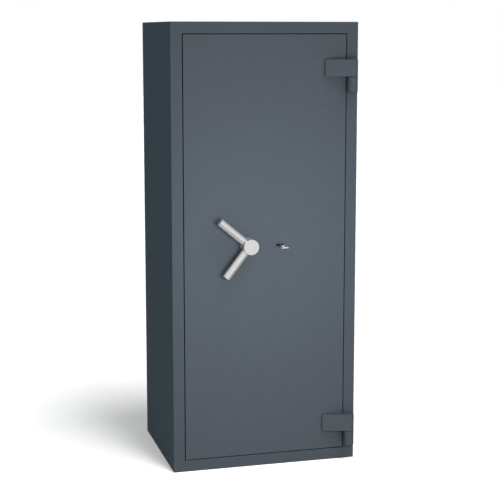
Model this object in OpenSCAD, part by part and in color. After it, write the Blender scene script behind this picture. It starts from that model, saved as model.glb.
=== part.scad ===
// Tall free-standing safe with a key lock, a two-arm turning handle and outside hinges.
// Millimetres. +Z is up, -Y is the front. The origin is the centre of the body's base.
// Depths are written as s, measured back from the front face of the body.
// The rest position has the door shut, the bolts drawn back and the key in the lock.

/* [Body] */
// Outside width of the body
body_w = 765; // [740:5:800]
// Outside depth of the body, without handle and hinges
body_d = 580; // [540:5:640]
// Outside height of the body
body_h = 1800; // [1780:5:1860]
// Wall thickness, from outside to inside
wall = 60; // [58:1:62]
// Sheet thickness of casing and front frame
casing_t = 4; // [3:0.5:5]
// Visible width of the frame around the door
frame_face = 46; // [44:1:48]

/* [Door] */
// Gap between door and frame
door_gap = 3.5; // [3:0.5:4]
// Thickness of the front plate
plate_t = 12; // [8:1:14]
// Thickness of plate, filling and pan together
slab_t = 45; // [42:1:46]
// Depth of the bolt housing behind the slab
housing_d = 80; // [76:1:84]

/* [Handle] */
// Handle axis, sideways from the centre line
handle_x = -77; // [-90:1:-70]
// Handle axis above the base
handle_z = 920; // [900:1:930]
// Diameter of the hub
hub_d = 61; // [54:1:66]
// How far the hub stands out from the door
hub_out = 70; // [62:1:76]
// Diameter of an arm
arm_d = 32; // [24:1:34]
// Length of an arm, from the axis to its end
arm_len = 158; // [140:1:170]
// Angle of the upper arm, anticlockwise from the right as seen from the front
arm_angle = 140; // [130:1:150]
// Angle between the two arms
arm_spread = 92; // [80:1:110]

/* [Hinges] */
// Height of the underside of the upper hinge leaf
upper_leaf_z = 1585; // [1540:1:1600]
// Height of the underside of the lower hinge leaf
lower_leaf_z = 127; // [120:1:160]
// Height of a leaf
leaf_h = 67; // [60:1:80]
// Height of the knuckle below the leaf
knuckle_h = 62; // [50:1:66]
// Radius of leaf barrel and knuckle
knuckle_r = 21; // [18:0.5:21]

/* [Lock] */
// Key axis, sideways from the centre line
key_x = 59; // [56:1:62]
// Key axis above the base
key_z = 914; // [906:1:922]
// Width across the two bits of the key
bit_w = 27; // [24:0.5:27]

/* [Bolt work] */
// Diameter of a bolt
bolt_d = 28; // [24:1:28]
// Free length of a bolt in front of its bar
bolt_len = 70; // [66:1:74]

/* [Hidden] */
$fn = 64;
eps = 0.5;             // overshoot of cuts
slide_gap = 0.05;      // radial gap of a turning or sliding fit
bore_gap = 0.1;        // radial gap of a clearance bore
blend = 0.2;           // how far a flat runs into a round it meets

// Colours
paint = [0.36, 0.40, 0.43];
liner_paint = [0.78, 0.79, 0.78];
steel = [0.70, 0.71, 0.72];
zinc = [0.76, 0.76, 0.72];
concrete = [0.62, 0.60, 0.57];
brass = [0.78, 0.66, 0.38];
black = [0.08, 0.08, 0.09];

// Body depths and insets
rebate_d = 48;         // depth of the door opening
lip_t = 20;            // thickness of the lip that the bolts grip behind
lip_end = rebate_d + lip_t;
channel_end = 115;     // depth where the bolt channel stops
channel_in = 30.5;     // inset of the channel's outer wall
liner_t = 2;
liner_back = body_d - wall;
anchor_x = 225;
anchor_r = 9;
anchor_wall = 3;
floor_anchor_s = [200, 430];
back_anchor_z = [400, 1400];

// Shelves
shelf_count = 4;
shelf_front = 150;
shelf_h = 25;
shelf_sheet = 1.5;
shelf_side_gap = 1;
shelf_back_gap = 2;
shelf_pitch = (body_h - 2 * wall) / (shelf_count + 1);
rail_s = [190, 470];
rail_w = 24;
rail_t = 3;
rail_slot_pitch = 48;
rail_slot_w = 12;
rail_slot_h = 8;
rail_end_gap = 10;     // from a rail's end to the floor or ceiling of the inside
rail_top_plain = 40;   // length at the top of a rail that has no slots
clip_w = 16;
clip_h = 10;
clip_out = 14;
clip_t = 2;
hook_w = 10;
hook_h = 6;
hook_in = 2.5;
hook_drop = 6;         // hook centre below the ledge

// Door
door_in = frame_face + door_gap;       // inset of the door plate from the body outline
pan_in = door_in + 2;
hardplate_t = 8;
hardplate_over = 6;    // how far the hard plate reaches past the lock on each side
pan_t = 3;
pan_side_t = 2;
housing_x = 306;
housing_z = [72, body_h - 72];
housing_t = 4;
housing_end = slab_t + housing_d;
cover_t = 2;
cover_screw_z = [90, 500, 900, 1300, 1710];
cover_screw_x = 294;
cover_screw_r = 2.5;
cover_head_r = 5;
cover_head_h = 3;
service_hole = [60, 36];
service_hole_at = [195, 900];
housing_flange = 18;

// Hinges
hinge_x = 353;
hinge_s = -22;
leaf_left = 243;
leaf_tip_t = 9;
pin_r = 8;
washer_t = 2;
washer_gap = 0.1;      // between washer and leaf
washer_in = 4;         // washer edge inside the knuckle's edge
hinge_foot_w = 26;
knuckle_chamfer = 4;
pin_floor = 12;        // material under the pin and above the leaf's bore
pin_end_gap = 2;
leaf_lift = 2;         // space between leaf and frame
weld_w = 3;            // width of the step from door plate to lifted leaf

// Handle and spindle
spindle_r = 9;
spindle_over = 6;      // spindle end behind the pinion
circlip_s = [slab_t + 1, slab_t + 3];
circlip_w = 4;
circlip_gap = 6;
groove_depth = 1;
bush_r = 13;
bush_flange_r = 19;
bush_flange_t = 1.5;
hub_gap = 2;
arm_s = -40;               // depth of the arms' axes
arm_chamfer = 2;
spigot_r = 6;
spigot_in = 18;
hub_floor = 8;         // material in front of the spindle's bore
grub_angle = 277;
grub_s = -14;
grub_r = 4;
grub_l = 12;
grub_hex_r = 2.3;
grub_hex_depth = 5;

// Gear module and tooth count of the pinion
gear_module = 2.5;
pinion_teeth = 18;

// Bolt work. The side rack runs in the front layer, the two upright racks in the rear layer.
pitch_r = gear_module * pinion_teeth / 2;
tooth_pitch = PI * gear_module;
throw = pitch_r * PI / 2;              // bolt travel for a quarter turn of the handle
bolt_s = 84;
bolt_spigot_r = 7;
bore_reach = 30;       // half length of the cuts for the bolts
guide_l = 12;
guide_t = 5;
bar_t = 8;
bar_w = 40;
bar_over = 28;                         // bar end beyond its last bolt's axis
bolt_nose = 2;
rivet_over = 3;
rivet_h = 4;
front_layer = [68, 80];
rear_layer = [86, 98];
pinion_s = [66, 100];
side_bolt_z = [300, 700, 1120, 1520];
end_bolt_x = [-180, 180];
dog_z = [300, 900, 1500];
dog_r = 12;
dog_s = 90;
dog_out = 30;
dog_in = 30;
rack_body = 15;                        // rack body behind the tooth roots
rack_addendum = 0.9 * gear_module;
rack_dedendum = 1.25 * gear_module;
backlash = 0.25;
rack_over = 14;                        // rack end beyond its travel
last_tooth = throw + rack_over - tooth_pitch / 2;
top_rack_tail = 110;                   // top rack below the handle axis, where the stop plate sits
rack_gap = 0.2;                        // between a rack and the block behind it
rack_guide_l = 40;
rack_guide_t = 16;
rack_guide_over = 2;
rack_guide_low = 5;                    // the right block stops here, clear of the lock bolt
rack_guide_high = 15;

// Lock
lock_box = [10, 108, key_z - 82, key_z + 68];        // left, right, bottom and top of the case
lock_s = [slab_t, 75];
lock_wall = 3;
lock_post_in = [7, 7];
lock_post_r = 5;
lock_screw_r = 3;
lock_head_r = 5;
lock_head_h = 5;
hex_depth = 3;
hex_r = 2.9;
lock_cover_t = 3;
lock_bolt_z = key_z - 54;
lock_bolt_h = 14;
lock_bolt_s = [54, 66];
lock_bolt_tip = -32;
lock_bolt_end = 40;
lock_talon_w = 12;
lock_talon_gap = 16;                   // talon top below the key axis
bolt_slot_gap = 0.3;
strike_x = [-51, -36];
strike_s = [55, 65];
strike_over = 18;                      // stop plate beyond the middle of its outer notches
strike_foot = [10, 22];                // foot on the rack, below the upper notch's middle
notch_depth = 11;
notch_h = lock_bolt_h + 1;
lever_pivot = [92, key_z + 46];
lever_pin_r = 3.9;
lever_hub_r = 10;
lever_blade = [26, key_z + 17, 60, 36];   // left, bottom, width and height of a lever's blade
lever_gate = [36, key_z + 26, 26, 12];    // the same for the window in the blade
lever_count = 6;
lever_t = 1.4;
lever_pitch = 1.8;
lever_s = 56.5;
bit_s = [56, 72];
bit_t = 4.6;
shank_r = 4;
curtain_r = 15.4;
curtain_flange = 1.6;
key_out = 48;                          // from the door face to the bow
bow_w = 31.5;
bow_l = 32;
bow_t = 3.5;
bow_end_w = 8;
bow_hole = [16, 12, 5];                // width, length and end width of the ring hole
bow_hole_out = 4;                      // ring hole's centre beyond the middle of the bow
collar_over = 1.5;
collar_l = 5;
cut_pitch = 2.4;                       // steps cut in the bits
cut_w = 1;
cut_first = 2.2;
cut_depth = 3;
guide_slot = [31, 9.5, 6.5];           // width, height and middle radius of the keyhole
guide_gap = 0.6;                       // between key and keyhole sleeve
drum_gap = 0.3;                        // between key and drum

// ---------- helpers ----------

// Y of a depth behind the front face
function y_at(s) = s - body_d / 2;

// Block inset evenly from the body outline, between two depths
module slab(inset, s0, s1)
    translate([-body_w / 2 + inset, y_at(s0), inset])
        cube([body_w - 2 * inset, s1 - s0, body_h - 2 * inset]);

// Rectangular ring between two insets
module ring(inset_out, inset_in, s0, s1)
    difference() {
        slab(inset_out, s0, s1);
        slab(inset_in, s0 - eps, s1 + eps);
    }

// Block from x0..x1 and z0..z1, between two depths
module block(x0, x1, z0, z1, s0, s1)
    translate([x0, y_at(s0), z0])
        cube([x1 - x0, s1 - s0, z1 - z0]);

// Block between two X positions given in either order
module block_between(xa, xb, z0, z1, s0, s1)
    block(min(xa, xb), max(xa, xb), z0, z1, s0, s1);

// Shape drawn as seen from the front (X right, Z up), between two depths
module from_front(s0, s1)
    translate([0, y_at(s1), 0])
        rotate([90, 0, 0])
            linear_extrude(s1 - s0)
                children();

// Round bar along Y
module rod_y(x, z, r, s0, s1)
    translate([x, y_at(s1), z])
        rotate([90, 0, 0])
            cylinder(r = r, h = s1 - s0);

// Round bar along X
module rod_x(x0, x1, s, z, r)
    translate([x0, y_at(s), z])
        rotate([0, 90, 0])
            cylinder(r = r, h = x1 - x0);

// Round bar along Z
module rod_z(x, s, z0, z1, r)
    translate([x, y_at(s), z0])
        cylinder(r = r, h = z1 - z0);

// Level slot with round ends
module slot_2d(w, h) {
    square([w - h, h], center = true);
    for (side = [-1, 1])
        translate([side * (w - h) / 2, 0])
            circle(r = h / 2);
}

// Keyhole as cut in the slab: a slot with a round middle
module keyhole_2d()
    translate([key_x, key_z]) {
        slot_2d(guide_slot[0], guide_slot[1]);
        circle(r = guide_slot[2]);
    }

// Keyway that the bits slide through: square ends and a round middle for the shank
module keyway_2d(w, h, middle_r)
    translate([key_x, key_z]) {
        square([w, h], center = true);
        circle(r = middle_r);
    }

// ---------- gear teeth ----------

// Involute polar angle, in degrees, at radius r of base circle rb
function involute_angle(r, rb) = let (a = acos(rb / r)) tan(a) * 180 / PI - a;

// Half the angle that a pinion tooth takes at radius r
function tooth_half_angle(r, rb) =
    (tooth_pitch / 2 - backlash) / 2 / pitch_r * 180 / PI
    + involute_angle(pitch_r, rb) - involute_angle(max(r, rb), rb);

function polar(r, a) = [r * cos(a), r * sin(a)];

module pinion_2d() {
    base_r = pitch_r * cos(20);
    root_r = pitch_r - rack_dedendum;
    tip_r = pitch_r + rack_addendum;
    radii = concat([root_r], [for (i = [0:4]) base_r + (tip_r - base_r) * i / 4]);
    last = len(radii) - 1;
    polygon([
        for (i = [0:pinion_teeth - 1])
            for (side = [-1, 1])
                for (k = [0:last])
                    let (
                        r = radii[side < 0 ? k : last - k],
                        a = i * 360 / pinion_teeth + side * tooth_half_angle(r, base_r)
                    )
                    polar(r, a)
    ]);
}

// Rack along X from x0 to x1. The teeth point to -Y, the pitch line is Y = 0 and
// one tooth is centred at first, with the rest a pitch apart up to last.
module rack_2d(x0, x1, first, last) {
    tip_half = tooth_pitch / 4 - backlash / 2 - rack_addendum * tan(20);
    root_half = tooth_pitch / 4 - backlash / 2 + rack_dedendum * tan(20);
    polygon(concat(
        [[x0, rack_dedendum + rack_body], [x0, rack_dedendum]],
        [for (c = [first:tooth_pitch:last])
            for (p = [[-root_half, rack_dedendum], [-tip_half, -rack_addendum],
                      [tip_half, -rack_addendum], [root_half, rack_dedendum]])
                [c + p[0], p[1]]],
        [[x1, rack_dedendum], [x1, rack_dedendum + rack_body]]
    ));
}

// ---------- body ----------

module anchor_holes_floor(r)
    for (x = [-anchor_x, anchor_x])
        for (s = floor_anchor_s)
            rod_z(x, s, -eps, wall + eps, r);

module anchor_holes_back(r)
    for (x = [-anchor_x, anchor_x])
        for (z = back_anchor_z)
            rod_y(x, z, r, liner_back - eps, body_d + eps);

module casing()
    color(paint)
        difference() {
            ring(0, casing_t, 0, body_d - casing_t);
            anchor_holes_floor(anchor_r + anchor_wall);
        }

module back_plate()
    color(paint)
        difference() {
            slab(0, body_d - casing_t, body_d);
            anchor_holes_back(anchor_r + anchor_wall);
        }

// Folded front frame: face flange and the sides of the door opening
module front_frame()
    color(paint) {
        ring(casing_t, frame_face, 0, casing_t);
        ring(frame_face - casing_t, frame_face, casing_t, rebate_d);
    }

// Flat bars welded behind the opening; the bolts grip behind them
module lip_frame()
    color(paint)
        ring(channel_in, wall, rebate_d, lip_end);

// Lining of the channel that the thrown bolts enter
module bolt_channel()
    color(liner_paint) {
        ring(channel_in - liner_t, channel_in, lip_end, channel_end);
        ring(channel_in - liner_t, wall, channel_end, channel_end + liner_t);
    }

module front_fill()
    color(concrete) {
        ring(casing_t, frame_face - casing_t, casing_t, rebate_d);
        ring(casing_t, channel_in, rebate_d, lip_end);
        ring(casing_t, channel_in - liner_t, lip_end, channel_end + liner_t);
    }

fill_t = wall - liner_t - casing_t;      // filling between casing and liner
fill_x = body_w / 2 - wall + liner_t;    // side walls' inner face

module side_fill()
    color(concrete)
        for (side = [-1, 1])
            block_between(side * fill_x, side * (fill_x + fill_t), casing_t, body_h - casing_t,
                          channel_end + liner_t, body_d - casing_t);

// Filling of floor and roof
module level_fill()
    color(concrete)
        difference() {
            for (z = [casing_t, body_h - casing_t - fill_t])
                block(-fill_x, fill_x, z, z + fill_t, channel_end + liner_t, body_d - casing_t);
            anchor_holes_floor(anchor_r + anchor_wall);
        }

module back_fill()
    color(concrete)
        difference() {
            block(-fill_x, fill_x, casing_t + fill_t, body_h - casing_t - fill_t,
                  liner_back + liner_t, body_d - casing_t);
            anchor_holes_back(anchor_r + anchor_wall);
        }

module inner_liner()
    color(liner_paint)
        difference() {
            slab(wall - liner_t, channel_end + liner_t, liner_back + liner_t);
            slab(wall, channel_end, liner_back);
            anchor_holes_floor(anchor_r + anchor_wall);
            anchor_holes_back(anchor_r + anchor_wall);
        }

// Heat-swelling seal strip on the front of the lip
module door_seal()
    color(black)
        ring(frame_face + 2, wall - 2, rebate_d - 2, rebate_d);

// Tube through the whole wall
module anchor_sleeve()
    difference() {
        cylinder(r = anchor_r + anchor_wall, h = wall);
        translate([0, 0, -eps])
            cylinder(r = anchor_r, h = wall + 2 * eps);
    }

module anchor_sleeves()
    color(zinc)
        for (x = [-anchor_x, anchor_x]) {
            for (s = floor_anchor_s)
                translate([x, y_at(s), 0])
                    anchor_sleeve();
            for (z = back_anchor_z)
                translate([x, y_at(body_d), z])
                    rotate([90, 0, 0])
                        anchor_sleeve();
        }

// ---------- shelves ----------

function shelf_top(n) = wall + n * shelf_pitch;

// The slots are set out so that one of them meets each clip's hook
first_slot_z = shelf_top(1) - shelf_h - hook_drop - 5 * rail_slot_pitch;

module shelf_rail(side, s)
    difference() {
        face = side * (body_w / 2 - wall);
        block_between(face, face - side * rail_t, wall + rail_end_gap, body_h - wall - rail_end_gap,
                      s - rail_w / 2, s + rail_w / 2);
        for (z = [first_slot_z:rail_slot_pitch:body_h - wall - rail_top_plain])
            block(face - rail_t - eps, face + rail_t + eps,
                  z - rail_slot_h / 2, z + rail_slot_h / 2, s - rail_slot_w / 2, s + rail_slot_w / 2);
    }

module shelf_rails()
    color(zinc)
        for (side = [-1, 1])
            for (s = rail_s)
                shelf_rail(side, s);

// A clip is a small angle: a ledge under the shelf, a plate on the rail and a hook in its slot
module shelf_clip(side, s, z) {
    back = side * (body_w / 2 - wall - rail_t);
    block_between(back, back - side * clip_out, z - clip_t, z, s - clip_w / 2, s + clip_w / 2);
    block_between(back, back - side * clip_t, z - clip_h, z - clip_t, s - clip_w / 2, s + clip_w / 2);
    block_between(back - side * clip_t, back + side * hook_in, z - hook_drop - hook_h / 2,
                  z - hook_drop + hook_h / 2, s - hook_w / 2, s + hook_w / 2);
}

module shelf_clips()
    color(zinc)
        for (n = [1:shelf_count])
            for (side = [-1, 1])
                for (s = rail_s)
                    shelf_clip(side, s, shelf_top(n) - shelf_h);

// Sheet shelf with all four edges folded down
module shelf(n) {
    half_w = body_w / 2 - wall - rail_t - shelf_side_gap;
    top = shelf_top(n);
    back = liner_back - shelf_back_gap;
    color(liner_paint)
        difference() {
            block(-half_w, half_w, top - shelf_h, top, shelf_front, back);
            block(-half_w + shelf_sheet, half_w - shelf_sheet, top - shelf_h - eps,
                  top - shelf_sheet, shelf_front + shelf_sheet, back - shelf_sheet);
        }
}

// ---------- hinges ----------

// Knuckle welded to the front frame, bored for the pin
module hinge_base(leaf_z) {
    top = leaf_z - washer_t;
    color(paint)
        difference() {
            union() {
                rod_z(hinge_x, hinge_s, top - knuckle_h + knuckle_chamfer, top, knuckle_r);
                translate([hinge_x, y_at(hinge_s), top - knuckle_h])
                    cylinder(r1 = knuckle_r - knuckle_chamfer, r2 = knuckle_r, h = knuckle_chamfer);
                block(hinge_x - hinge_foot_w / 2, hinge_x + hinge_foot_w / 2,
                      top - knuckle_h + knuckle_chamfer, top, hinge_s, 0);
            }
            rod_z(hinge_x, hinge_s, top - knuckle_h + pin_floor, top + eps, pin_r);
        }
}

// Leaf welded to the door plate: a wedge that runs into a barrel
module hinge_leaf(leaf_z) {
    reach = norm([hinge_x - leaf_left, hinge_s + leaf_tip_t]);
    lean = atan2(-hinge_s - leaf_tip_t, hinge_x - leaf_left);
    touch = lean + asin((knuckle_r - blend) / reach);
    run = sqrt(reach * reach - knuckle_r * knuckle_r);
    color(paint)
        difference() {
            union() {
                rod_z(hinge_x, hinge_s, leaf_z, leaf_z + leaf_h, knuckle_r);
                translate([0, -body_d / 2, leaf_z])
                    linear_extrude(leaf_h)
                        polygon([
                            [leaf_left, 0],
                            [body_w / 2 - door_in - 1, 0],
                            [body_w / 2 - door_in - 1 + weld_w, -leaf_lift],
                            [hinge_x, -leaf_lift],
                            [hinge_x, hinge_s],
                            [leaf_left + run * cos(touch), -leaf_tip_t - run * sin(touch)],
                            [leaf_left, -leaf_tip_t]
                        ]);
            }
            rod_z(hinge_x, hinge_s, leaf_z - eps, leaf_z + leaf_h - pin_floor, pin_r + slide_gap);
        }
}

module hinge_pins()
    color(steel)
        for (leaf_z = [upper_leaf_z, lower_leaf_z])
            rod_z(hinge_x, hinge_s, leaf_z - washer_t - knuckle_h + pin_floor,
                  leaf_z + leaf_h - pin_floor - pin_end_gap, pin_r);

module hinge_washers()
    color(black)
        for (leaf_z = [upper_leaf_z, lower_leaf_z])
            difference() {
                rod_z(hinge_x, hinge_s, leaf_z - washer_t, leaf_z - washer_gap, knuckle_r - washer_in);
                rod_z(hinge_x, hinge_s, leaf_z - washer_t - eps, leaf_z + eps, pin_r + washer_gap);
            }

// ---------- door ----------

module door_plate()
    color(paint)
        difference() {
            slab(door_in, 0, plate_t);
            rod_y(handle_x, handle_z, bush_r, -eps, plate_t + eps);
            from_front(-eps, plate_t + eps)
                keyhole_2d();
        }

// Tray behind the plate that holds the filling
module door_pan()
    color(paint)
        difference() {
            union() {
                ring(pan_in, pan_in + pan_side_t, plate_t, slab_t);
                slab(pan_in + pan_side_t, slab_t - pan_t, slab_t);
            }
            rod_y(handle_x, handle_z, bush_r, slab_t - pan_t - eps, slab_t + eps);
            from_front(slab_t - pan_t - eps, slab_t + eps)
                keyhole_2d();
        }

module hardplate_block()
    block(lock_box[0] - hardplate_over, lock_box[1] + hardplate_over, lock_box[2], lock_box[3],
          plate_t, plate_t + hardplate_t);

module door_fill()
    color(concrete)
        difference() {
            slab(pan_in + pan_side_t, plate_t, slab_t - pan_t);
            hardplate_block();
            rod_y(handle_x, handle_z, bush_r, 0, slab_t);
            from_front(0, slab_t)
                keyhole_2d();
        }

// Hardened plate that shields the lock from drills
module hardplate()
    color(steel)
        difference() {
            hardplate_block();
            from_front(0, slab_t)
                keyhole_2d();
        }

module side_bolt_bores(r)
    for (z = side_bolt_z)
        rod_x(-housing_x - bore_reach, -housing_x + bore_reach, bolt_s, z, r);

module end_bolt_bores(r)
    for (x = end_bolt_x)
        for (z = housing_z)
            rod_z(x, bolt_s, z - bore_reach, z + bore_reach, r);

// Block inset by edge from the housing's outline
module housing_block(edge, s0, s1)
    block(-housing_x + edge, housing_x - edge, housing_z[0] + edge, housing_z[1] - edge, s0, s1);

// Folded frame around the bolt work, with a flange at the back for the cover
module bolt_housing()
    color(paint)
        difference() {
            housing_block(0, slab_t, housing_end);
            housing_block(housing_t, slab_t - eps, housing_end - housing_t);
            housing_block(housing_t + housing_flange, housing_end - housing_t - eps, housing_end + eps);
            cover_screw_places()
                cylinder(r = cover_screw_r, h = housing_t + eps);
            side_bolt_bores(bolt_d / 2 + bore_gap);
            end_bolt_bores(bolt_d / 2 + bore_gap);
            for (z = dog_z)
                rod_x(housing_x - dog_in, housing_x + dog_out, dog_s, z, dog_r);
        }

// Rings inside the housing that carry the sliding bolts
module bolt_guides()
    color(steel)
        difference() {
            union() {
                for (z = side_bolt_z)
                    rod_x(-housing_x + housing_t, -housing_x + housing_t + guide_l, bolt_s, z,
                          bolt_d / 2 + guide_t);
                for (x = end_bolt_x)
                    for (z = [housing_z[0] + housing_t, housing_z[1] - housing_t - guide_l])
                        rod_z(x, bolt_s, z, z + guide_l, bolt_d / 2 + guide_t);
            }
            side_bolt_bores(bolt_d / 2 + slide_gap);
            end_bolt_bores(bolt_d / 2 + slide_gap);
        }

module cover_screw_places()
    for (x = [-cover_screw_x, cover_screw_x])
        for (z = cover_screw_z)
            translate([x, y_at(housing_end), z])
                rotate([90, 0, 0])
                    children();

// Cover of the bolt work, with a slot to look and reach through
module rear_cover()
    color(liner_paint)
        difference() {
            housing_block(0, housing_end, housing_end + cover_t);
            cover_screw_places()
                translate([0, 0, -cover_t - eps])
                    cylinder(r = cover_screw_r, h = cover_t + 2 * eps);
            from_front(housing_end - eps, housing_end + cover_t + eps)
                translate(service_hole_at)
                    slot_2d(service_hole[0], service_hole[1]);
        }

module rear_cover_screws()
    color(zinc)
        cover_screw_places() {
            translate([0, 0, -cover_t - cover_head_h])
                cylinder(r = cover_head_r, h = cover_head_h);
            translate([0, 0, -cover_t])
                cylinder(r = cover_screw_r, h = cover_t + housing_t);
        }

// Fixed bolts that hold the hinge side behind the lip
module hinge_side_dogs()
    color(steel)
        for (z = dog_z)
            rod_x(housing_x - dog_in, housing_x + dog_out, dog_s, z, dog_r);

module spindle_bush()
    color(brass)
        difference() {
            union() {
                rod_y(handle_x, handle_z, bush_r, 0, slab_t);
                rod_y(handle_x, handle_z, bush_flange_r, -bush_flange_t, 0);
            }
            rod_y(handle_x, handle_z, spindle_r + slide_gap, -bush_flange_t - eps, slab_t + eps);
        }

// Black sleeve that lines the keyhole through the whole slab
module key_guide()
    color(black)
        from_front(0, slab_t)
            difference() {
                keyhole_2d();
                keyway_2d(bit_w + 2 * guide_gap, bit_t + 2 * guide_gap, shank_r + guide_gap);
            }

// Blocks that back the racks opposite the pinion
module rack_guides() {
    back = pitch_r + rack_dedendum + rack_body + rack_gap;
    color(brass) {
        block(handle_x - rack_guide_l / 2, handle_x + rack_guide_l / 2, handle_z + back,
              handle_z + back + rack_guide_t, slab_t, front_layer[1] + rack_guide_over);
        block(handle_x + back, handle_x + back + rack_guide_t, handle_z - rack_guide_low,
              handle_z + rack_guide_high, slab_t, rear_layer[1] + rack_guide_over);
        block(handle_x - back - rack_guide_t, handle_x - back, handle_z - rack_guide_high,
              handle_z + rack_guide_high, slab_t, rear_layer[1] + rack_guide_over);
    }
}

// ---------- lock ----------

function lock_posts() = [
    for (x = [lock_box[0] + lock_post_in[0], lock_box[1] - lock_post_in[0]])
        for (z = [lock_box[2] + lock_post_in[1], lock_box[3] - lock_post_in[1]])
            [x, z]
];

module lock_case()
    color(zinc)
        difference() {
            union() {
                difference() {
                    block(lock_box[0], lock_box[1], lock_box[2], lock_box[3], lock_s[0], lock_s[1]);
                    block(lock_box[0] + lock_wall, lock_box[1] - lock_wall, lock_box[2] + lock_wall,
                          lock_box[3] - lock_wall, lock_s[0] + lock_wall, lock_s[1] + eps);
                }
                for (p = lock_posts())
                    rod_y(p[0], p[1], lock_post_r, lock_s[0] + 1, lock_s[1]);
                rod_y(lever_pivot[0], lever_pivot[1], lever_pin_r, lock_s[0] + 1, lock_s[1]);
            }
            for (p = lock_posts())
                rod_y(p[0], p[1], lock_screw_r, lock_s[0] - eps, lock_s[1] + eps);
            rod_y(key_x, key_z, curtain_r + slide_gap, lock_s[0] - eps, lock_s[0] + lock_wall + eps);
            block(lock_box[0] - eps, lock_box[0] + lock_wall + eps,
                  lock_bolt_z - lock_bolt_h / 2 - bolt_slot_gap, lock_bolt_z + lock_bolt_h / 2 + bolt_slot_gap,
                  lock_bolt_s[0] - bolt_slot_gap, lock_bolt_s[1] + bolt_slot_gap);
        }

module lock_cover()
    color(zinc)
        difference() {
            block(lock_box[0], lock_box[1], lock_box[2], lock_box[3], lock_s[1], lock_s[1] + lock_cover_t);
            for (p = lock_posts())
                rod_y(p[0], p[1], lock_screw_r, lock_s[1] - eps, lock_s[1] + lock_cover_t + eps);
        }

module lock_screws() {
    seat = lock_s[1] + lock_cover_t;
    color(steel)
        for (p = lock_posts()) {
            rod_y(p[0], p[1], lock_screw_r, lock_s[0], seat);
            difference() {
                rod_y(p[0], p[1], lock_head_r, seat, seat + lock_head_h);
                from_front(seat + lock_head_h - hex_depth, seat + lock_head_h + eps)
                    translate(p)
                        circle(r = hex_r, $fn = 6);
            }
        }
}

// Drum that turns with the key and closes the lock behind it
module key_curtain() {
    step_s = lock_s[0] + lock_wall + 0.5;
    color(brass)
        difference() {
            union() {
                rod_y(key_x, key_z, curtain_r, lock_s[0] + 0.2, step_s);
                rod_y(key_x, key_z, curtain_r + curtain_flange, step_s, bit_s[0] - 1);
            }
            from_front(lock_s[0] - eps, bit_s[0])
                keyway_2d(bit_w + 2 * drum_gap, bit_t + 2 * drum_gap, shank_r + drum_gap);
        }
}

// Flat oval with its long axis along X, square middle and elliptical ends
module oval_2d(w, l, end_w)
    union() {
        square([w - 2 * end_w, l], center = true);
        for (side = [-1, 1])
            translate([side * (w / 2 - end_w), 0])
                intersection() {
                    circle(d = l);
                    square([2 * end_w, l], center = true);
                }
    }

// Flat bow, lying level with the bits, with a ring hole
module key_bow()
    translate([key_x, y_at(-key_out - bow_l / 2), key_z - bow_t / 2])
        difference() {
            linear_extrude(bow_t)
                oval_2d(bow_w, bow_l, bow_end_w);
            translate([0, -bow_hole_out, -eps])
                linear_extrude(bow_t + 2 * eps)
                    oval_2d(bow_hole[0], bow_hole[1], bow_hole[2]);
        }

module key()
    color(steel) {
        difference() {
            union() {
                rod_y(key_x, key_z, shank_r, -key_out - 3, bit_s[1] + 1);
                rod_y(key_x, key_z, shank_r + collar_over, -key_out, -key_out + collar_l);
                block(key_x - bit_w / 2, key_x + bit_w / 2, key_z - bit_t / 2, key_z + bit_t / 2,
                      bit_s[0], bit_s[1]);
            }
            // Steps cut in both bits, one for each lever
            for (k = [0:lever_count - 2])
                for (side = [-1, 1])
                    block_between(key_x + side * (bit_w / 2 + 1),
                                  key_x + side * (bit_w / 2 - cut_depth - k % 3),
                                  key_z - bit_t, key_z + bit_t, bit_s[0] + cut_first + k * cut_pitch,
                                  bit_s[0] + cut_first + cut_w + k * cut_pitch);
        }
        key_bow();
    }

// Bolt of the key lock, with an upright talon near the key
module lock_bolt()
    color(steel) {
        block(lock_bolt_tip, lock_bolt_end, lock_bolt_z - lock_bolt_h / 2, lock_bolt_z + lock_bolt_h / 2,
              lock_bolt_s[0], lock_bolt_s[1]);
        block(lock_bolt_end - lock_talon_w, lock_bolt_end, lock_bolt_z + lock_bolt_h / 2,
              key_z - lock_talon_gap, lock_bolt_s[0], lock_bolt_s[1]);
    }

module lever_2d()
    difference() {
        union() {
            translate([lever_blade[0], lever_blade[1]])
                square([lever_blade[2], lever_blade[3]]);
            translate(lever_pivot)
                circle(r = lever_hub_r);
        }
        translate(lever_pivot)
            circle(r = lever_pin_r + bore_gap);
        translate([lever_gate[0], lever_gate[1]])
            square([lever_gate[2], lever_gate[3]]);
    }

module lever_pack()
    color(brass)
        for (k = [0:lever_count - 1])
            from_front(lever_s + k * lever_pitch, lever_s + k * lever_pitch + lever_t)
                lever_2d();

// ---------- handle ----------

module handle_arm_rod(angle, r, from, to)
    translate([handle_x, y_at(arm_s), handle_z])
        rotate([0, 90 - angle, 0])
            translate([0, 0, from])
                cylinder(r = r, h = to - from);

module handle_hub()
    color(steel)
        difference() {
            rod_y(handle_x, handle_z, hub_d / 2, -hub_out, -hub_gap);
            rod_y(handle_x, handle_z, spindle_r, -hub_out + hub_floor, 0);
            for (a = [arm_angle, arm_angle + arm_spread])
                handle_arm_rod(a, spigot_r, spigot_in, hub_d);
            grub_place()
                cylinder(r = grub_r, h = hub_d);
        }

// The grub screw's axis, square to the spindle
module grub_place()
    translate([handle_x, y_at(grub_s), handle_z])
        rotate([0, 90 - grub_angle, 0])
            children();

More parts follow.
